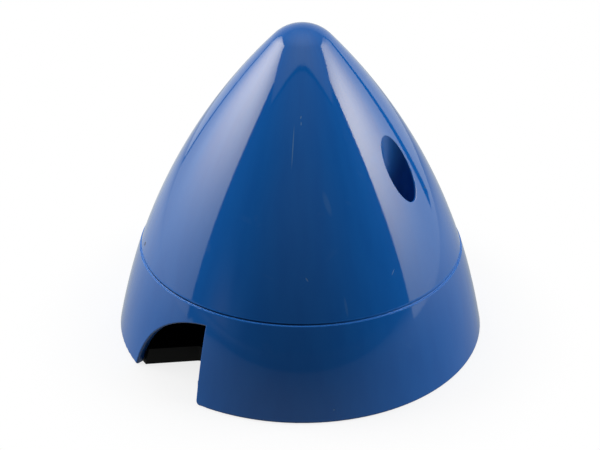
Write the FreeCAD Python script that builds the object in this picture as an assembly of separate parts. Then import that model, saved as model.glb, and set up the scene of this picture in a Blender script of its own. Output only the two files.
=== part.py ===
"""Two-blade propeller spinner: a moulded shell on a nylon backplate, held by two cone screws.

Lengths are millimetres and angles degrees.  The origin is the middle of the base, on the crankshaft's
axis; +Z points to the nose and X runs along the blades.
"""
import FreeCAD, Part
import math
import os

Vector = FreeCAD.Vector
AXIS = Vector(0, 0, 1)

# Shell, outside: a slightly bowed band below the groove and a bowed cone with a round nose above it.
base_diameter = 64.0
overall_height = 54.6
band_height = 15.8
band_draw_in = 4.35          # how much smaller the band's radius is at the groove than at the base
band_bow_radius = 126.0
cone_step = 0.14             # the cone starts this far inside the band's top edge
cone_bow_radius = 103.7
nose_radius = 6.7
groove_width = 0.42
lip_round = 0.12             # at both edges of the groove
rim_round = 0.4
mouth_round = 0.24           # at the edges of the blade openings and the screw wells

# Shell, inside.
wall = 1.3
seat_rib_count = 8
seat_rib_width = 1.2
seat_rib_depth = 1.4
seat_rib_height = 8.0
web_width = 1.2              # the web that ties each screw tube to the wall

# Blade openings: a tall straight edge on the leading side, and an arch down to the trailing foot.
opening_width = 15.4
opening_top_gap = 2.6        # from the opening's top to the groove
opening_lean = 0.9           # the tall edge leans inwards by this much over its height
arch_radius = 16.4
foot_round = 0.8

# Cone screws and their wells, which run parallel to the crankshaft.
well_bore = 5.6
well_angle = 102.4           # from the blades' axis to the wells
well_setback = 13.6          # from the base's edge to each well's axis
tube_wall = 1.3
seat_height = 12.0           # where the screw tubes meet the backplate's posts
shoulder_thickness = 2.0
screw_diameter = 3.0
screw_length = 12.0
screw_point = 1.5
screw_point_diameter = 0.9
head_height = 2.2
head_crown = 0.7
recess_width = 0.9
recess_span = 3.0
recess_depth = 1.2

# Backplate: a web with a rim, a hub, ribs and two posts on it, moulded in one piece.
plate_thickness = 3.0
plate_web = 1.4
plate_rim = 1.5
plate_rib_width = 1.2
crankshaft_bore = 8.0
hub_diameter = 20.0
hub_height = 1.0             # above the plate's front face
notch_depth = 9.6            # from the base's edge
notch_floor_width = 2.4
notch_flare = 37.0           # each side leans away from the blades' axis
notch_corner_round = 1.0
gusset_width = 1.2
gusset_reach = 3.2
gusset_height = 6.0

# Clearances.
plate_clearance = 0.15       # between the backplate's edge and the shell's wall
head_clearance = 0.2         # round a screw head in its well
shank_clearance = 0.2        # round a screw in the shell's shoulder
pilot_spare = 0.5            # below a screw's point

base_radius = base_diameter / 2
opening_height = band_height - opening_top_gap
well_radius = well_bore / 2
tube_radius = well_radius + tube_wall
well_circle = base_radius - well_setback
shoulder_height = seat_height + shoulder_thickness
seam_angle = well_angle / 2  # the revolved faces close here, clear of the openings and wells
beyond = base_diameter       # cutters reach this far, well past every face


def revolved(edges):
    """Solid of revolution about Z from edges that close a face in the XZ plane, seam at seam_angle."""
    solid = Part.Face(Part.Wire(edges)).revolve(Vector(0, 0, 0), AXIS, 360)
    return turned(solid, seam_angle)


def prism(edges, direction):
    """Straight solid from edges that close a face."""
    return Part.Face(Part.Wire(edges)).extrude(direction)


def polyline(points):
    """Edges through the points in order."""
    return [Part.LineSegment(a, b).toShape() for a, b in zip(points, points[1:])]


def cylinder(radius, low, high, x=0.0, y=0.0):
    return Part.makeCylinder(radius, high - low, Vector(x, y, low), AXIS)


def turned(shape, angle):
    """A copy turned about the crankshaft's axis."""
    copy = shape.copy()
    copy.rotate(Vector(0, 0, 0), AXIS, angle)
    return copy


def dome(radius, low, rise):
    """Arc in the XZ plane from the rim of a shallow dome to its top on the axis."""
    sphere = (radius ** 2 + rise ** 2) / (2 * rise)
    tilt = math.asin(radius / sphere) / 2
    middle = low + rise - sphere
    halfway = Vector(sphere * math.sin(tilt), 0, middle + sphere * math.cos(tilt))
    return Part.Arc(Vector(radius, 0, low), halfway, Vector(0, 0, low + rise)).toShape()


def arc(centre, start, end):
    """The shorter arc about a centre in the XZ plane."""
    halfway = (start - centre) + (end - centre)
    radius = (start - centre).Length
    return Part.Arc(start, centre + halfway.normalize() * radius, end).toShape()


def crossings(first, first_radius, second, second_radius):
    """The two points where two circles of the XZ plane cross, as (inner, outer) from the axis."""
    span = second - first
    reach = span.Length
    along = (first_radius ** 2 - second_radius ** 2 + reach ** 2) / (2 * reach)
    across = math.sqrt(first_radius ** 2 - along ** 2)
    sideways = Vector(-span.z, 0, span.x).normalize() * across
    foot = first + span * (along / reach)
    return sorted((foot + sideways, foot - sideways), key=lambda point: point.x)


def on_circle(centre, radius, towards):
    """The point of a circle that lies towards another point."""
    return centre + (towards - centre).normalize() * radius


class Side:
    """The spinner's side in section, moved in by inset: the band's arc, the cone's arc and the nose."""

    def __init__(self, inset=0.0):
        sideways = inset / math.cos(math.atan(band_draw_in / band_height))
        self.band_radius = band_bow_radius - inset
        self.cone_radius = cone_bow_radius - inset
        nose = nose_radius - inset
        self.foot = Vector(base_radius - sideways, 0, 0)
        self.top = self.foot + Vector(-band_draw_in, 0, band_height)
        self.knee = self.top - Vector(cone_step, 0, 0)
        self.nose_centre = Vector(0, 0, overall_height - nose_radius)
        self.band_centre = crossings(self.foot, self.band_radius, self.top, self.band_radius)[0]
        tangent = self.cone_radius - nose
        self.cone_centre = crossings(self.knee, self.cone_radius, self.nose_centre, tangent)[0]
        self.nose_foot = on_circle(self.cone_centre, self.cone_radius, self.nose_centre)
        self.tip = self.nose_centre + AXIS * nose

    def above(self, start):
        """Edges from a point of the cone's arc over the nose and down the axis to the base."""
        cone = arc(self.cone_centre, start, self.nose_foot)
        nose = arc(self.nose_centre, self.nose_foot, self.tip)
        return [cone, nose] + polyline([self.tip, Vector(0, 0, 0)])


def form(inset=0.0):
    """The spinner's outer form without groove or roundings, moved in by inset except at the base."""
    side = Side(inset)
    base = polyline([Vector(0, 0, 0), side.foot])
    edges = base + [arc(side.band_centre, side.foot, side.top)] + polyline([side.top, side.knee])
    return revolved(edges + side.above(side.knee))


def outer_form():
    """The outer form with its rounded rim and its groove, whose lips are rounded too."""
    side = Side()
    groove = groove_width / 2
    lip_reach = groove + lip_round
    inner = side.band_radius - rim_round
    rim_x = side.band_centre.x + math.sqrt(inner ** 2 - (side.band_centre.z - rim_round) ** 2)
    rim = Vector(rim_x, 0, rim_round)
    rim_foot = Vector(rim_x, 0, 0)
    rim_top = on_circle(side.band_centre, side.band_radius, rim)
    lower_lips = crossings(side.band_centre, side.band_radius - lip_round, side.top, lip_reach)
    upper_lips = crossings(side.cone_centre, side.cone_radius - lip_round, side.top, lip_reach)
    lower = min(lower_lips, key=lambda point: point.z)
    upper = max(upper_lips, key=lambda point: point.z)
    band_end = on_circle(side.band_centre, side.band_radius, lower)
    cone_start = on_circle(side.cone_centre, side.cone_radius, upper)
    groove_low = on_circle(side.top, groove, lower)
    groove_high = on_circle(side.top, groove, upper)
    edges = polyline([Vector(0, 0, 0), rim_foot])
    edges += [arc(rim, rim_foot, rim_top), arc(side.band_centre, rim_top, band_end)]
    edges += [arc(lower, band_end, groove_low), arc(side.top, groove_low, groove_high)]
    edges += [arc(upper, groove_high, cone_start)]
    return revolved(edges + side.above(cone_start))


def blade_opening():
    """Cutter for the opening on the +X side, from the axis outwards."""
    half = opening_width / 2
    trailing = Vector(0, -half, 0)
    crown = Vector(0, half - opening_lean, opening_height)
    slope = opening_lean / opening_height
    above_foot = Vector(0, half - slope * foot_round, foot_round)
    beside_foot = Vector(0, half + foot_round, 0)
    chord = crown - trailing
    rise = arch_radius - math.sqrt(arch_radius ** 2 - (chord.Length / 2) ** 2)
    outward = Vector(0, -chord.z, chord.y).normalize()
    arch = Part.Arc(trailing, (trailing + crown) * 0.5 + outward * rise, crown).toShape()
    corner = foot_round * (1 - math.sqrt(0.5))
    rounding = Part.Arc(above_foot, Vector(0, half + corner, corner), beside_foot).toShape()
    below = Vector(0, 0, -beyond)
    closing = polyline([beside_foot, beside_foot + below, trailing + below, trailing])
    edges = [arch] + polyline([crown, above_foot]) + [rounding] + closing
    return prism(edges, Vector(beyond, 0, 0))


def well_places():
    """Angle and middle of each screw well."""
    for angle in (well_angle, well_angle + 180):
        turn = math.radians(angle)
        yield angle, well_circle * math.cos(turn), well_circle * math.sin(turn)


def seat_ribs(inside):
    """Short ribs on the wall, whose feet the backplate's front face seats against."""
    low = plate_thickness
    ring = inside.cut(form(wall + seat_rib_depth))
    blank = Part.makeBox(beyond, seat_rib_width, seat_rib_height, Vector(0, -seat_rib_width / 2, low))
    step = 360 / seat_rib_count
    return [ring.common(turned(blank, step * (k + 0.5))) for k in range(seat_rib_count)]


def touches(solid, point):
    """Whether the point lies on the solid's surface."""
    return solid.Shells[0].distToShape(Part.Vertex(point))[0] < 1e-4


def mouth_edges(shell, outside, cutters):
    """The shell's edges where the cutters come out through its outside, apart from the rim."""
    for edge in shell.Edges:
        first, last = edge.ParameterRange
        middle = edge.valueAt((first + last) / 2)
        on_mouth = any(touches(cutter, middle) for cutter in cutters)
        if middle.z > foot_round and on_mouth and touches(outside, middle):
            yield edge


def spinner_shell():
    """The shell: wall, seat ribs, two screw tubes with their webs, wells and blade openings."""
    within_wall = form(wall / 2)
    added = seat_ribs(within_wall)
    mouths = [blade_opening(), turned(blade_opening(), 180)]
    shanks = []
    for angle, x, y in well_places():
        tube = cylinder(tube_radius, seat_height, overall_height, x, y)
        web_corner = Vector(well_circle, -web_width / 2, seat_height)
        web = Part.makeBox(beyond, web_width, overall_height, web_corner)
        added += [tube.common(within_wall), turned(web, angle).common(within_wall)]
        mouths.append(cylinder(well_radius, shoulder_height, overall_height, x, y))
        shanks.append(cylinder(screw_diameter / 2 + shank_clearance, 0, shoulder_height, x, y))
    shell = outer_form().cut(form(wall)).fuse(added).cut(mouths + shanks)
    rounding = min(mouth_round, 0.65 * rim_round)
    return shell.makeFillet(rounding, list(mouth_edges(shell, form(), mouths)))


def notch(margin=0.0):
    """Cutter for the backplate's notch on the +X side, behind the blade opening, widened by margin."""
    flare = math.radians(notch_flare)
    floor = base_radius - notch_depth - margin
    half = notch_floor_width / 2 + margin * (1 - math.sin(flare)) / math.cos(flare)
    mouth = half + (beyond - floor) * math.tan(flare)
    plan = [(floor, -half), (beyond, -mouth), (beyond, mouth), (floor, half), (floor, -half)]
    edges = polyline([Vector(x, y, -beyond) for x, y in plan])
    cutter = prism(edges, Vector(0, 0, 2 * beyond))
    upright = [edge for edge in cutter.Edges if edge.BoundBox.ZLength > beyond]
    corners = [edge for edge in upright if abs(edge.CenterOfMass.x - floor) < 1e-6]
    return cutter.makeFillet(min(notch_corner_round + margin, half), corners)


def rear_relief():
    """Cutter for the hollows in the backplate's rear, which leave its rim, hub, post feet and ribs."""
    depth = plate_thickness - plate_web
    hollow = form(wall + plate_clearance + plate_rim).common(cylinder(beyond, -beyond, depth))
    kept = [notch(plate_rim), turned(notch(plate_rim), 180), cylinder(hub_diameter / 2, 0, depth)]
    rib = Part.makeBox(beyond, plate_rib_width, depth, Vector(0, -plate_rib_width / 2, 0))
    step = 360 / seat_rib_count
    kept += [turned(rib, step * (k + 0.5)) for k in range(seat_rib_count)]
    kept += [cylinder(tube_radius, 0, depth, x, y) for _, x, y in well_places()]
    return hollow.cut(kept)


def post(x, y, angle):
    """A post that takes one screw, with a gusset towards the hub and one on each side."""
    low = plate_thickness - plate_web
    shape = cylinder(tube_radius, low, seat_height, x, y)
    foot = tube_radius + gusset_reach
    top = plate_thickness + gusset_height
    outline = [(0, low), (foot, low), (foot, plate_thickness), (tube_radius, top), (0, top), (0, low)]
    edges = polyline([Vector(along, -gusset_width / 2, height) for along, height in outline])
    gusset = prism(edges, Vector(0, gusset_width, 0))
    gussets = [turned(gusset, angle + side) for side in (90, 180, 270)]
    for copy in gussets:
        copy.translate(Vector(x, y, 0))
    return shape.fuse(gussets)


def backplate():
    """The backplate: an edge that follows the wall, a hub and its bore, notches and two posts."""
    plate = form(wall + plate_clearance).common(cylinder(beyond, 0, plate_thickness))
    plate = plate.cut([notch(), turned(notch(), 180), rear_relief()])
    hub_top = plate_thickness + hub_height
    raised = [cylinder(hub_diameter / 2, plate_thickness - plate_web, hub_top)]
    raised += [post(x, y, angle) for angle, x, y in well_places()]
    holes = [cylinder(crankshaft_bore / 2, -beyond, beyond)]
    pilot_floor = shoulder_height - screw_length - pilot_spare
    holes += [cylinder(screw_diameter / 2, pilot_floor, beyond, x, y) for _, x, y in well_places()]
    return plate.fuse(raised).cut(holes).removeSplitter()


def cone_screw(x, y):
    """A pan-head screw that seats on the shell's shoulder and bites into the backplate's post."""
    head_radius = well_radius - head_clearance
    shank = screw_diameter / 2
    crown_foot = head_height - head_crown
    points = [(0, head_height), (0, -screw_length), (screw_point_diameter / 2, -screw_length),
              (shank, screw_point - screw_length), (shank, 0), (head_radius, 0), (head_radius, crown_foot)]
    outline = polyline([Vector(radius, 0, height) for radius, height in points])
    screw = revolved(outline + [dome(head_radius, crown_foot, head_crown)])
    slot = Part.makeBox(recess_span, recess_width, beyond,
                        Vector(-recess_span / 2, -recess_width / 2, head_height - recess_depth))
    screw = screw.cut([slot, turned(slot, 90)])
    screw.translate(Vector(x, y, shoulder_height))
    return screw


def main():
    os.makedirs("parts", exist_ok=True)
    pieces = {"spinner_shell": spinner_shell(), "backplate": backplate()}
    for number, (_, x, y) in enumerate(well_places(), 1):
        pieces[f"cone_screw_{number}"] = cone_screw(x, y)
    for name, shape in pieces.items():
        shape.exportStep(f"parts/{name}.step")
        state = "valid" if shape.isValid() else "NOT VALID"
        print(name, state, len(shape.Solids), round(shape.Volume, 1))


main()
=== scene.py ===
import math

import bmesh
import bpy
from mathutils import Matrix, Vector
from mathutils.geometry import intersect_sphere_sphere_2d


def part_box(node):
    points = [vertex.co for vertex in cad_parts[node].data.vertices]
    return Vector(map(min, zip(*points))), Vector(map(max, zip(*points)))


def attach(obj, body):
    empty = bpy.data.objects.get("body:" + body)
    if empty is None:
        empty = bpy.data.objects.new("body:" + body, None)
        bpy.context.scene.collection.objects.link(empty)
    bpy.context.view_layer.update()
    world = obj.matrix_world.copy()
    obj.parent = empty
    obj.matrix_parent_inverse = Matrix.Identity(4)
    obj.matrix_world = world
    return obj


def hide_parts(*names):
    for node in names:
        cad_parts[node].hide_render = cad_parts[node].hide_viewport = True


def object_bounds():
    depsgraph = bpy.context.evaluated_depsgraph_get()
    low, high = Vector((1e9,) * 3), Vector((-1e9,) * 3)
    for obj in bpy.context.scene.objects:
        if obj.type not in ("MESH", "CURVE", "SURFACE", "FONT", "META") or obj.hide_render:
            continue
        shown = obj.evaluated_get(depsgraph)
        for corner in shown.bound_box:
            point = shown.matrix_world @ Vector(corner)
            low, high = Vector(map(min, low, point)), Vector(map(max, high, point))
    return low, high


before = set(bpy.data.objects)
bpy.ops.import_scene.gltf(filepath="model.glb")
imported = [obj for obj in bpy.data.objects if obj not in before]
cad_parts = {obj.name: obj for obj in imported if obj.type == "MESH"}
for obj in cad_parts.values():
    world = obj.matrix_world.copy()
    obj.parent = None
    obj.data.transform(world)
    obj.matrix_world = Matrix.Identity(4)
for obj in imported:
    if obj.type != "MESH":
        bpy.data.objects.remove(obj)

cad_low, cad_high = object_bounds()

# ---- Spinner shell ----------------------------------------------------------------------------
# One glossy injection moulding in blue plastic. It keeps the CAD node's faces, and its outside is
# shaded by the true arcs of the band, cone and nose, so that reflections run across it evenly.

BASE_RADIUS = 0.032
BAND_HEIGHT = 0.0158
BAND_DRAW_IN = 0.00435
BAND_BOW_RADIUS = 0.126
CONE_STEP = 0.00014
CONE_BOW_RADIUS = 0.1037
NOSE_RADIUS = 0.0067
WELL_RADIUS = 0.0028
FACING = math.radians(225.7)
SHARP_ANGLE = math.radians(28)
OUTSIDE_ANGLE = math.radians(40)
ON_SURFACE = 0.000004
SAME_PLACE = 1e-7


def crossing(first, first_radius, second, second_radius):
    """Where two circles of the section cross, on the axis's side, as (radius, height)."""
    points = intersect_sphere_sphere_2d(first, first_radius, second, second_radius)
    return min(points, key=lambda point: point.x)


band_foot = Vector((BASE_RADIUS, 0))
band_top = Vector((BASE_RADIUS - BAND_DRAW_IN, BAND_HEIGHT))
cone_foot = band_top - Vector((CONE_STEP, 0))
nose_centre = Vector((0, cad_high[2] - NOSE_RADIUS))
band_centre = crossing(band_foot, BAND_BOW_RADIUS, band_top, BAND_BOW_RADIUS)
cone_centre = crossing(cone_foot, CONE_BOW_RADIUS, nose_centre, CONE_BOW_RADIUS - NOSE_RADIUS)
nose_foot = cone_centre + (nose_centre - cone_centre).normalized() * CONE_BOW_RADIUS


def outside_normal(point):
    """The outside's normal at a point, or None where the point isn't on the band, cone or nose."""
    spot = Vector((math.hypot(point.x, point.y), point.z))
    if spot.y < BAND_HEIGHT:
        centre, radius = band_centre, BAND_BOW_RADIUS
    elif spot.y < nose_foot.y:
        centre, radius = cone_centre, CONE_BOW_RADIUS
    else:
        centre, radius = nose_centre, NOSE_RADIUS
    slope = spot - centre
    if abs(slope.length - radius) > ON_SURFACE:
        return None
    level = Vector((point.x, point.y, 0)).normalized() * slope.x
    return (level + Vector((0, 0, slope.y))).normalized()


def true_shading(mesh):
    """Smooth shading whose normals on the outside come from its arcs instead of from its facets."""
    mesh.shade_smooth()
    mesh.set_sharp_from_angle(angle=SHARP_ANGLE)
    normals = [corner.vector.copy() for corner in mesh.corner_normals]
    exact = [outside_normal(vertex.co) for vertex in mesh.vertices]
    for face in mesh.polygons:
        for corner in face.loop_indices:
            normal = exact[mesh.loops[corner].vertex_index]
            if normal and normal.angle(face.normal) < OUTSIDE_ANGLE:
                normals[corner] = normal
    mesh.normals_split_custom_set(normals)


def whole_copy(solid):
    """A new piece with a CAD node's faces, joined along the seams that its file splits."""
    mesh = bpy.data.meshes.new("moulded_" + solid.name)
    build = bmesh.new()
    build.from_mesh(solid.data)
    bmesh.ops.remove_doubles(build, verts=build.verts, dist=SAME_PLACE)
    build.to_mesh(mesh)
    build.free()
    piece = bpy.data.objects.new("moulded_" + solid.name, mesh)
    bpy.context.collection.objects.link(piece)
    return piece


def node(tree, kind, inputs=(), **settings):
    """A shader node with its settings, and each input either set or linked from a socket."""
    made = tree.nodes.new(kind)
    for name, value in settings.items():
        setattr(made, name, value)
    for name, value in dict(inputs).items():
        if isinstance(value, bpy.types.NodeSocket):
            tree.links.new(value, made.inputs[name])
        else:
            made.inputs[name].default_value = value
    return made


def calc(tree, operation, *values, clamp=False):
    """The result of a Math node."""
    inputs = dict(enumerate(values))
    return node(tree, "ShaderNodeMath", inputs, operation=operation, use_clamp=clamp).outputs[0]


def between(tree, value, low, high, new_low, new_high):
    """A value carried smoothly from one range to another, held at its ends."""
    inputs = {"Value": value, "From Min": low, "From Max": high, "To Min": new_low, "To Max": new_high}
    return node(tree, "ShaderNodeMapRange", inputs, interpolation_type="SMOOTHSTEP").outputs["Result"]


def noise(tree, place, scale, detail=3.0, roughness=0.5):
    """A noise value about 0.5 at a place, with features about 1 / scale metres across."""
    inputs = {"Vector": place, "Scale": scale, "Detail": detail, "Roughness": roughness}
    return node(tree, "ShaderNodeTexNoise", inputs).outputs["Fac"]


def highest(tree, *masks):
    """The highest of several masks at each place."""
    total = masks[0]
    for mask in masks[1:]:
        total = calc(tree, "MAXIMUM", total, mask)
    return total


def mixed(tree, factor, first, second):
    """Two colours mixed by a factor."""
    made = node(tree, "ShaderNodeMix", {0: factor, 6: first, 7: second}, data_type="RGBA")
    return made.outputs[2]


def new_group(name, inputs, outputs):
    """A shader node group with its sockets: the tree, its input node and its output node."""
    group = bpy.data.node_groups.new(name, "ShaderNodeTree")
    for title, kind in inputs:
        group.interface.new_socket(title, in_out="INPUT", socket_type="NodeSocket" + kind)
    for title, kind in outputs:
        group.interface.new_socket(title, in_out="OUTPUT", socket_type="NodeSocket" + kind)
    return group, group.nodes.new("NodeGroupInput"), group.nodes.new("NodeGroupOutput")


def use_group(tree, group, inputs=()):
    """The outputs of a node group placed in a tree."""
    return node(tree, "ShaderNodeGroup", inputs, node_tree=group).outputs


def new_material(name):
    """A material with only a Principled BSDF: the material, its tree, its shader and its place."""
    material = bpy.data.materials.new(name)
    material.use_nodes = True
    tree = material.node_tree
    place = node(tree, "ShaderNodeTexCoord").outputs["Object"]
    return material, tree, tree.nodes["Principled BSDF"], place


def dress(piece, material):
    """One material for a whole piece."""
    piece.data.materials.clear()
    piece.data.materials.append(material)


# Around the axis: where a place lies as millimetres of height, degrees from the camera's side and
# reach from the axis.
around, around_in, around_out = new_group(
    "around_axis", [("Place", "Vector")], [("Height", "Float"), ("Side", "Float"), ("Reach", "Float")])
turned_place = node(around, "ShaderNodeVectorRotate",
                    {"Vector": around_in.outputs["Place"], "Angle": -FACING}, rotation_type="Z_AXIS")
parts = node(around, "ShaderNodeSeparateXYZ", {"Vector": turned_place.outputs[0]}).outputs
side = calc(around, "DEGREES", calc(around, "ARCTAN2", parts["Y"], parts["X"]))
level = node(around, "ShaderNodeVectorMath", {0: turned_place.outputs[0], 1: (1000, 1000, 0)},
             operation="MULTIPLY")
reach = node(around, "ShaderNodeVectorMath", {0: level.outputs[0]}, operation="LENGTH")
around.links.new(calc(around, "MULTIPLY", parts["Z"], 1000), around_out.inputs["Height"])
around.links.new(side, around_out.inputs["Side"])
around.links.new(reach.outputs["Value"], around_out.inputs["Reach"])

# Scuff: a soft spot or line on the surface, by its side and height, its slant, length and width.
scuff, scuff_in, scuff_out = new_group(
    "scuff", [("Height", "Float"), ("Side", "Float"), ("Reach", "Float"), ("At height", "Float"),
              ("At side", "Float"), ("Slant", "Float"), ("Length", "Float"), ("Width", "Float")],
    [("Mask", "Float")])
given = scuff_in.outputs
rise = calc(scuff, "SUBTRACT", given["Height"], given["At height"])
swing = calc(scuff, "RADIANS", calc(scuff, "SUBTRACT", given["Side"], given["At side"]))
across = calc(scuff, "MULTIPLY", swing, given["Reach"])
slanted = calc(scuff, "SUBTRACT", across, calc(scuff, "MULTIPLY", rise, given["Slant"]))
along_part = calc(scuff, "DIVIDE", rise, given["Length"])
across_part = calc(scuff, "DIVIDE", slanted, given["Width"])
spread = calc(scuff, "ADD", calc(scuff, "POWER", calc(scuff, "ABSOLUTE", along_part), 2.0),
              calc(scuff, "POWER", calc(scuff, "ABSOLUTE", across_part), 2.0))
scuff.links.new(between(scuff, spread, 0.1, 1.0, 1.0, 0.0), scuff_out.inputs["Mask"])

# Wear: fine handling scratches in changing directions, with soft smears between them.
wear, wear_in, wear_out = new_group(
    "handling_wear", [("Place", "Vector"), ("Scale", "Float")],
    [("Scratches", "Float"), ("Smears", "Float")])
stretches = ((1.0, 0.06, 1.0), (0.05, 1.0, 0.6), (0.5, 1.0, 0.05))
scratches = []
for turn_number, stretch in enumerate(stretches):
    angles = (0.4 * turn_number, 0.7 * turn_number, 1.1 * turn_number)
    mapped = node(wear, "ShaderNodeMapping",
                  {"Vector": wear_in.outputs["Place"], "Rotation": angles, "Scale": stretch})
    fine = noise(wear, mapped.outputs[0], calc(wear, "MULTIPLY", wear_in.outputs["Scale"], 6.0), 2.0)
    scratches.append(between(wear, fine, 0.69, 0.76, 0.0, 1.0))
smears = noise(wear, wear_in.outputs["Place"], wear_in.outputs["Scale"], 4.0, 0.62)
wear.links.new(highest(wear, *scratches), wear_out.inputs["Scratches"])
wear.links.new(between(wear, smears, 0.4, 0.7, 0.0, 1.0), wear_out.inputs["Smears"])

PLASTIC_BLUE = (0.006, 0.132, 0.50, 1)
DEEP_BLUE = (0.005, 0.123, 0.48, 1)
SCUFFED_BLUE = (0.10, 0.24, 0.50, 1)
PAINTED_SHADE_BLUE = (0.003, 0.02, 0.07, 1)
POLISHED = 0.055
PLASTIC_IOR = 1.49
RELIEF_DEPTH = 0.000006

blue_plastic, tree, shader, place = new_material("blue_plastic")
spot = use_group(tree, around, {"Place": place})
worn = use_group(tree, wear, {"Place": place, "Scale": 55.0})
normal = node(tree, "ShaderNodeNewGeometry").outputs["Normal"]
outwards = node(tree, "ShaderNodeVectorMath", {0: normal, 1: place}, operation="DOT_PRODUCT").outputs["Value"]
core_side = between(tree, outwards, -0.002, 0.0, 1.0, 0.0)


def scuffs(marks):
    """One mask for several scuffs, each (height, side, slant, length, width) in mm and degrees."""
    masks = []
    for height, angle, slant, length, width in marks:
        inputs = {"Height": spot["Height"], "Side": spot["Side"], "Reach": spot["Reach"],
                  "At height": height, "At side": angle, "Slant": slant, "Length": length, "Width": width}
        masks.append(use_group(tree, scuff, inputs)["Mask"])
    return highest(tree, *masks)


bright_lines = scuffs([(40.2, -5.2, 0.0, 3.3, 0.12), (22.4, 2.2, -0.6, 0.35, 0.18),
                       (2.2, 9.9, 0.0, 0.2, 0.22), (21.4, 35.0, 0.9, 0.5, 0.12),
                       (44.0, -0.7, 0.3, 0.25, 0.16), (43.2, -0.5, 0.0, 0.3, 0.14)])
faint_smears = scuffs([(32.7, 11.7, -0.25, 2.0, 0.55), (18.0, 15.4, -0.1, 1.8, 0.28),
                       (12.4, -38.0, 0.2, 1.6, 0.7)])
# Pits are dented in the relief and darkened with painted shade.
pits = scuffs([(17.4, -78.0, 0.0, 0.5, 0.5), (29.5, 70.0, 0.0, 0.22, 0.2)])

# Painted shade in the groove, stronger on one side, the groove's duller lips, and the less polished core
# pins that formed the wells.
from_groove = calc(tree, "ABSOLUTE", calc(tree, "SUBTRACT", spot["Height"], 1000 * BAND_HEIGHT))
groove_shade_side = calc(tree, "MULTIPLY", between(tree, spot["Side"], -5.0, 30.0, 0.9, 0.3),
                  between(tree, spot["Side"], -80.0, -60.0, 0.2, 1.0))
painted_groove_shade = calc(tree, "MULTIPLY", between(tree, from_groove, 0.1, 0.16, 1.0, 0.0), groove_shade_side)
groove_lips = between(tree, from_groove, 0.28, 0.42, 1.0, 0.0)
level_place = node(tree, "ShaderNodeVectorMath", {0: place, 1: (1, 1, 0)}, operation="MULTIPLY").outputs[0]
well_masks = []
for number in (1, 2):
    screw_low, screw_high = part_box(f"cone_screw_{number}")
    well_axis = [(screw_low[axis] + screw_high[axis]) / 2 for axis in (0, 1)] + [0]
    from_axis = node(tree, "ShaderNodeVectorMath", {0: level_place, 1: well_axis}, operation="DISTANCE")
    well_masks.append(between(tree, from_axis.outputs["Value"], WELL_RADIUS + 0.00003, WELL_RADIUS + 0.00008,
                              1.0, 0.0))
in_well = highest(tree, *well_masks)

# Pigment that flowed from the gate at the nose, along the meridians.
flow_place = node(tree, "ShaderNodeCombineXYZ", {"X": calc(tree, "MULTIPLY", spot["Side"], 0.09),
                                                 "Y": calc(tree, "MULTIPLY", spot["Height"], 0.05)})
flow = noise(tree, flow_place.outputs[0], 2.0, 4.0)
body = mixed(tree, between(tree, flow, 0.35, 0.7, 0.0, 1.0), PLASTIC_BLUE, DEEP_BLUE)
body = mixed(tree, calc(tree, "MULTIPLY", worn["Scratches"], 0.05), body, SCUFFED_BLUE)
body = mixed(tree, calc(tree, "MULTIPLY", faint_smears, 0.22), body, SCUFFED_BLUE)
body = mixed(tree, calc(tree, "MULTIPLY", bright_lines, 0.8), body, SCUFFED_BLUE)
# Painted shade: the pits, the groove and the wells' bores are darkened towards a deep blue.
painted_shade = highest(tree, pits, painted_groove_shade, calc(tree, "MULTIPLY", in_well, 0.35))
body = mixed(tree, painted_shade, body, PAINTED_SHADE_BLUE)
tree.links.new(body, shader.inputs["Base Color"])

gloss = calc(tree, "MULTIPLY_ADD", worn["Smears"], 0.02, POLISHED)
gloss = calc(tree, "MULTIPLY_ADD", worn["Scratches"], 0.05, gloss)
gloss = calc(tree, "MULTIPLY_ADD", faint_smears, 0.12, gloss)
gloss = calc(tree, "MULTIPLY_ADD", bright_lines, 0.3, gloss)
gloss = calc(tree, "MULTIPLY_ADD", highest(tree, core_side, in_well, groove_lips), 0.35, gloss, clamp=True)
tree.links.new(gloss, shader.inputs["Roughness"])
# Painted shade in the pits and the groove also lowers their specular level.
sheen = calc(tree, "MULTIPLY_ADD", highest(tree, pits, painted_groove_shade), -0.45, 0.5)
tree.links.new(sheen, shader.inputs["Specular IOR Level"])

# Mould polish leaves the surface very slightly uneven, and the core side is spark eroded.
ripple = noise(tree, place, 120.0, 2.0)
orange_peel = noise(tree, place, 1400.0, 2.0)
eroded = calc(tree, "MULTIPLY", noise(tree, place, 4500.0, 2.0), core_side)
relief = calc(tree, "MULTIPLY_ADD", orange_peel, 0.012, ripple)
relief = calc(tree, "MULTIPLY_ADD", eroded, 2.0, relief)
relief = calc(tree, "MULTIPLY_ADD", highest(tree, pits, bright_lines), -1.5, relief)
bump = node(tree, "ShaderNodeBump", {"Strength": 1.0, "Distance": RELIEF_DEPTH, "Height": relief})
tree.links.new(bump.outputs[0], shader.inputs["Normal"])
shader.inputs["IOR"].default_value = PLASTIC_IOR

shell = whole_copy(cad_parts["spinner_shell"])
true_shading(shell.data)
dress(shell, blue_plastic)
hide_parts("spinner_shell")
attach(shell, "root")

# ---- Backplate --------------------------------------------------------------------------------
# Black glass-filled nylon disc inside the rim, notched behind each blade opening, with a satin
# moulded face, fibres that show faintly in it, and rings that the drive washer has rubbed. Its
# near-black also stands in as painted shade for the inside of the shell seen through the openings.

# Near-black nylon, which also serves as painted shade inside the shell.
NYLON_AND_SHADE_BLACK = (0.0045, 0.0048, 0.005, 1)
NYLON_GREY = (0.006, 0.0062, 0.0066, 1)
FIBRE_GREY = (0.016, 0.0165, 0.0175, 1)
WASHER_RADIUS_MM = 9.8

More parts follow.
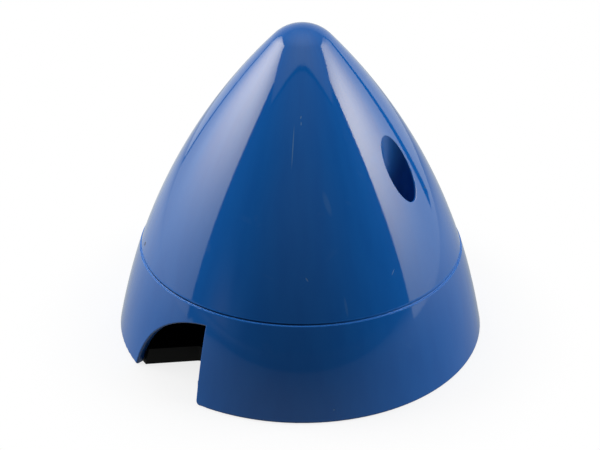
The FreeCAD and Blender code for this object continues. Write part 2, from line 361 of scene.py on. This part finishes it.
black_nylon_and_shade, tree, shader, place = new_material("black_nylon_and_shade")
spot = use_group(tree, around, {"Place": place})
worn = use_group(tree, wear, {"Place": place, "Scale": 90.0})
cloudy = between(tree, noise(tree, place, 160.0, 4.0), 0.4, 0.65, 0.0, 1.0)
fibres = calc(tree, "MULTIPLY", use_group(tree, wear, {"Place": place, "Scale": 420.0})["Scratches"], 0.5)
washer_seat = between(tree, spot["Reach"], WASHER_RADIUS_MM - 0.8, WASHER_RADIUS_MM, 1.0, 0.0)
rings = node(tree, "ShaderNodeTexWave", {"Vector": place, "Scale": 700.0, "Distortion": 1.5},
             wave_type="RINGS", rings_direction="Z").outputs["Fac"]
rubbed = calc(tree, "MULTIPLY", calc(tree, "MULTIPLY", washer_seat, rings), 0.5)
body = mixed(tree, cloudy, NYLON_AND_SHADE_BLACK, NYLON_GREY)
body = mixed(tree, highest(tree, fibres, rubbed), body, FIBRE_GREY)
tree.links.new(body, shader.inputs["Base Color"])
satin = calc(tree, "MULTIPLY_ADD", cloudy, 0.1, 0.42)
satin = calc(tree, "MULTIPLY_ADD", rubbed, -0.2, satin)
tree.links.new(calc(tree, "MULTIPLY_ADD", worn["Smears"], 0.06, satin), shader.inputs["Roughness"])
grain = noise(tree, place, 2600.0, 3.0)
relief = calc(tree, "MULTIPLY_ADD", fibres, 0.6, calc(tree, "MULTIPLY_ADD", rubbed, -0.5, grain))
bump = node(tree, "ShaderNodeBump", {"Strength": 0.6, "Distance": 0.00002, "Height": relief})
tree.links.new(bump.outputs[0], shader.inputs["Normal"])
shader.inputs["Specular IOR Level"].default_value = 0.12
dress(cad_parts["backplate"], black_nylon_and_shade)

# ---- Cone screws ------------------------------------------------------------------------------
# Two zinc-plated steel pan-head screws at the bottom of the wells. Their plating is patchy and
# finely scratched, and a thread is rolled down their shanks.

ZINC = (0.52, 0.53, 0.56, 1)
DULL_ZINC = (0.30, 0.30, 0.31, 1)
THREAD_PITCH = 0.0008
HEAD_HEIGHT = 0.0022

screw_steel, tree, shader, place = new_material("screw_steel")
worn = use_group(tree, wear, {"Place": place, "Scale": 260.0})
patchy = between(tree, noise(tree, place, 700.0, 4.0), 0.35, 0.65, 0.0, 1.0)
body = mixed(tree, patchy, ZINC, DULL_ZINC)
tree.links.new(body, shader.inputs["Base Color"])
dull = calc(tree, "MULTIPLY_ADD", patchy, 0.12, 0.24)
tree.links.new(calc(tree, "MULTIPLY_ADD", worn["Scratches"], 0.15, dull), shader.inputs["Roughness"])
shader.inputs["Metallic"].default_value = 1
# A wave texture's bands are pi / (10 * scale) apart.
thread = node(tree, "ShaderNodeTexWave", {"Vector": place, "Scale": math.pi / 10 / THREAD_PITCH},
              wave_type="BANDS", bands_direction="Z").outputs["Fac"]
seat_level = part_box("cone_screw_1")[1][2] - HEAD_HEIGHT
on_shank = between(tree, node(tree, "ShaderNodeSeparateXYZ", {"Vector": place}).outputs["Z"],
                   seat_level - 0.0004, seat_level, 1.0, 0.0)
fine_marks = calc(tree, "MULTIPLY", noise(tree, place, 5000.0, 2.0), 0.03)
relief = calc(tree, "MULTIPLY_ADD", thread, on_shank, fine_marks)
bump = node(tree, "ShaderNodeBump", {"Strength": 0.8, "Distance": 0.0002, "Height": relief})
tree.links.new(bump.outputs[0], shader.inputs["Normal"])
for number in (1, 2):
    dress(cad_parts[f"cone_screw_{number}"], screw_steel)

# ---- Table, light and camera ------------------------------------------------------------------
# The spinner stands on white in a small light tent that is open towards a dark room. Only mirrored
# rays see the tent, the room and the table's grey; three softboxes and the world light the object.
# Places in the room are in base radii from the middle of the base: to the right, away and up.

TENT_SIDE = 4.7
TENT_FRONT = -1.7
TENT_BACK = 5.2
TENT_TOP = 6.5
ROOF_FRONT = -2.8
SEAM = 0.2
CARD = 0.01
POLE_NEAR = 2.42
POLE_FAR = 3.2
POLE_FOOT = 0.35
POLE_LEAN = 0.33
TABLE_FRONT = -4.3
TABLE_SIDE = 9
TABLE_TOP = 0.00625
ROOM_SIDE = 30
ROOM_FLOOR = 0.003125
CARD_WHITE = (0.97, 1.0, 0.94, 1)
LAMP_WHITE = (1.03, 0.94, 0.76, 1)
FLOOR_SIDE = 60
FLOOR_NEAR = 1.0
FLOOR_FAR = 1.6
FLOOR_GREY = (0.22, 0.22, 0.22, 1)
FLOOR_FILL = 0.8
AMBIENT = 0.085
SOFTBOX_DISTANCE = 7
SOFTBOX_SIZE = 5
CAMERA_DISTANCE = 7
CAMERA_RISE = 29.19
CAMERA_LEAN = 0.433
TARGET_HEIGHT = 0.5675

to_room = Matrix.Rotation(FACING + math.pi / 2, 4, "Z")

glow, glow_in, glow_out = new_group(
    "soft_glow", [("Place", "Vector"), ("Spot", "Vector"), ("Spread", "Float"), ("Peak", "Float")],
    [("Strength", "Float")])
away = node(glow, "ShaderNodeVectorMath", {0: glow_in.outputs["Place"], 1: glow_in.outputs["Spot"]},
            operation="DISTANCE").outputs["Value"]
spreads = calc(glow, "DIVIDE", away, glow_in.outputs["Spread"])
falloff = calc(glow, "EXPONENT", calc(glow, "MULTIPLY", calc(glow, "MULTIPLY", spreads, spreads), -0.5))
glow.links.new(calc(glow, "MULTIPLY", falloff, glow_in.outputs["Peak"]), glow_out.inputs["Strength"])


def empty_material(name):
    """A material with no nodes yet, which isn't sampled as a lamp: the material and its tree."""
    material = bpy.data.materials.new(name)
    material.use_nodes = True
    material.node_tree.nodes.clear()
    material.cycles.emission_sampling = "NONE"
    return material, material.node_tree


def stage_mesh(name, corners, faces, material):
    """A staged mesh with its corners at places in the room."""
    mesh = bpy.data.meshes.new(name)
    mesh.from_pydata([Vector(corner) * BASE_RADIUS for corner in corners], [], faces)
    piece = bpy.data.objects.new(name, mesh)
    piece.matrix_world = to_room
    bpy.context.collection.objects.link(piece)
    mesh.materials.append(material)
    return piece


def glowing(tree, level, glows):
    """The light of glows (spot, spread, peak) on a level, warmer where it is strong."""
    place = node(tree, "ShaderNodeTexCoord").outputs["Object"]
    strength = level
    for spot, spread, peak in glows:
        inputs = {"Place": place, "Spot": Vector(spot) * BASE_RADIUS,
                  "Spread": spread * BASE_RADIUS, "Peak": peak}
        strength = calc(tree, "ADD", strength, use_group(tree, glow, inputs)["Strength"])
    tint = mixed(tree, between(tree, strength, 1.5, 5.0, 0.0, 1.0), CARD_WHITE, LAMP_WHITE)
    return node(tree, "ShaderNodeVectorMath", {0: tint, "Scale": strength}, operation="SCALE").outputs[0]


def mirrored_card(name, low, high, level, *glows, lean=0.0):
    """A card that only mirrored rays see, leaning away, evenly bright or with glows on its level."""
    material, tree = empty_material(name)
    emission = node(tree, "ShaderNodeEmission", {"Color": CARD_WHITE, "Strength": level})
    node(tree, "ShaderNodeOutputMaterial", {"Surface": emission.outputs[0]})
    if glows:
        tree.links.new(glowing(tree, level, glows), emission.inputs["Color"])
        emission.inputs["Strength"].default_value = 1
    corners = [(x, y + lean * z, z)
               for x in (low[0], high[0]) for y in (low[1], high[1]) for z in (low[2], high[2])]
    faces = [(0, 1, 3, 2), (4, 5, 7, 6), (0, 1, 5, 4), (2, 3, 7, 6), (0, 2, 6, 4), (1, 3, 7, 5)]
    card = stage_mesh(name, corners, faces, material)
    card.visible_camera = False
    card.visible_diffuse = False
    card.visible_transmission = False
    card.visible_shadow = False
    card.visible_volume_scatter = False


mirrored_card("left_wall",
              (-TENT_SIDE - CARD, TENT_FRONT, 0), (-TENT_SIDE, TENT_BACK - SEAM, TENT_TOP),
              0.76, ((-4.7, 0.9, 4.8), 2.0, 9.0))
mirrored_card("right_wall",
              (TENT_SIDE, TENT_FRONT, 0), (TENT_SIDE + CARD, TENT_BACK, TENT_TOP),
              0.95, ((4.7, -1.0, 4.4), 1.8, 10.0), ((4.7, 4.0, 3.0), 1.4, 0.3))
mirrored_card("tent_pole",
              (TENT_SIDE - 2 * CARD, POLE_NEAR, POLE_FOOT), (TENT_SIDE - CARD, POLE_FAR, TENT_TOP),
              0.0, lean=POLE_LEAN)
mirrored_card("back_wall",
              (SEAM - TENT_SIDE, TENT_BACK, 0), (TENT_SIDE, TENT_BACK + CARD, TENT_TOP),
              0.5, ((-4.0, 5.2, 1.0), 2.5, 0.6), ((4.4, 5.2, 2.0), 2.8, 0.55))
mirrored_card("roof",
              (-TENT_SIDE, ROOF_FRONT, TENT_TOP), (TENT_SIDE, TENT_BACK, TENT_TOP + CARD),
              0.4, ((0, -0.4, 6.5), 2.2, 1.0))
mirrored_card("roof_rail",
              (-TENT_SIDE, ROOF_FRONT - SEAM, TENT_TOP), (TENT_SIDE, ROOF_FRONT, TENT_TOP + CARD),
              0.0)
mirrored_card("grey_table",
              (-TENT_SIDE, TABLE_FRONT, TABLE_TOP), (TABLE_SIDE, TENT_BACK, TABLE_TOP),
              0.16, ((-4.7, 1.0, 0), 2.4, 1.0), ((4.7, 0.8, 0), 2.2, 0.7), ((0, 3.6, 0), 2.2, 0.4))
mirrored_card("dark_room",
              (-ROOM_SIDE, -ROOM_SIDE, ROOM_FLOOR), (ROOM_SIDE, ROOM_SIDE, ROOM_SIDE),
              0.05, ((0, -16, 26), 14.0, 0.24), ((-12, -8.5, 0), 3.0, 0.3), ((-30, -23, 0), 5.0, 0.3))


def seen_directly(tree):
    """1 for rays from the camera, from a mirror or through glass, and 0 for the rest."""
    rays = node(tree, "ShaderNodeLightPath").outputs
    return highest(tree, rays["Is Camera Ray"], rays["Is Glossy Ray"], rays["Is Transmission Ray"])


# The floor is white all round, and near the spinner it also takes its shadow.
white_floor, tree = empty_material("white_floor")
floor_place = node(tree, "ShaderNodeTexCoord").outputs["Object"]
from_axis = node(tree, "ShaderNodeVectorMath", {0: floor_place}, operation="LENGTH").outputs["Value"]
lit = node(tree, "ShaderNodeBsdfDiffuse", {"Color": FLOOR_GREY})
fill = node(tree, "ShaderNodeEmission", {"Strength": calc(tree, "MULTIPLY", seen_directly(tree), FLOOR_FILL)})
near = node(tree, "ShaderNodeAddShader", {0: lit.outputs[0], 1: fill.outputs[0]})
far = node(tree, "ShaderNodeEmission", {"Strength": seen_directly(tree)})
beyond = between(tree, from_axis, FLOOR_NEAR * BASE_RADIUS, FLOOR_FAR * BASE_RADIUS, 0.0, 1.0)
shown = node(tree, "ShaderNodeMixShader", {0: beyond, 1: near.outputs[0], 2: far.outputs[0]})
node(tree, "ShaderNodeOutputMaterial", {"Surface": shown.outputs[0]})
floor_corners = [(-FLOOR_SIDE, -FLOOR_SIDE, 0), (FLOOR_SIDE, -FLOOR_SIDE, 0),
                 (FLOOR_SIDE, FLOOR_SIDE, 0), (-FLOOR_SIDE, FLOOR_SIDE, 0)]
stage_mesh("floor", floor_corners, [(0, 1, 2, 3)], white_floor)

world = bpy.data.worlds.new("studio")
bpy.context.scene.world = world
world.use_nodes = True
tree = world.node_tree
ambient = calc(tree, "MULTIPLY_ADD", seen_directly(tree), 1 - AMBIENT, AMBIENT)
tree.links.new(ambient, tree.nodes["Background"].inputs["Strength"])
tree.nodes["Background"].inputs["Color"].default_value = (1, 1, 1, 1)


def towards(side, height, distance):
    """A point seen from the axis, side degrees anticlockwise from the camera's direction."""
    turn = FACING + math.radians(side)
    rise = math.radians(height)
    level = math.cos(rise) * distance
    return Vector((level * math.cos(turn), level * math.sin(turn), math.sin(rise) * distance))


def softbox(name, side, height, brightness):
    """A softbox aimed at the spinner, where brightness is about what it gives a white card facing it."""
    distance = SOFTBOX_DISTANCE * BASE_RADIUS
    lamp = bpy.data.lights.new(name, "AREA")
    lamp.shape = "RECTANGLE"
    lamp.size = SOFTBOX_SIZE * BASE_RADIUS
    lamp.size_y = SOFTBOX_SIZE * BASE_RADIUS
    lamp.energy = brightness * (math.pi * distance) ** 2
    holder = bpy.data.objects.new(name, lamp)
    holder.location = towards(side, height, distance)
    holder.rotation_euler = holder.location.to_track_quat("Z", "Y").to_euler()
    holder.visible_camera = False
    holder.visible_glossy = False
    bpy.context.collection.objects.link(holder)


softbox("left_softbox", -92, 28, 0.72)
softbox("right_softbox", 84, 28, 0.65)
softbox("top_softbox", 180, 80, 0.3)

camera_data = bpy.data.cameras.new("camera")
camera_data.sensor_width = 36
camera_data.lens = 77.98
camera_data.shift_x = -0.0018
camera_data.clip_start = 0.01
camera = bpy.data.objects.new("camera", camera_data)
target = Vector((0, 0, TARGET_HEIGHT * BASE_RADIUS))
camera_place = target + towards(0, CAMERA_RISE, CAMERA_DISTANCE * BASE_RADIUS)
back = (camera_place - target).normalized()
right = Vector((0, 0, 1)).cross(back).normalized()
up = back.cross(right)
lean = math.radians(CAMERA_LEAN)
tilted_right = right * math.cos(lean) + up * math.sin(lean)
tilted_up = up * math.cos(lean) - right * math.sin(lean)
camera.matrix_world = Matrix((tilted_right, tilted_up, back)).transposed().to_4x4()
camera.location = camera_place
bpy.context.collection.objects.link(camera)
bpy.context.scene.camera = camera
bpy.context.scene.view_settings.view_transform = "Standard"
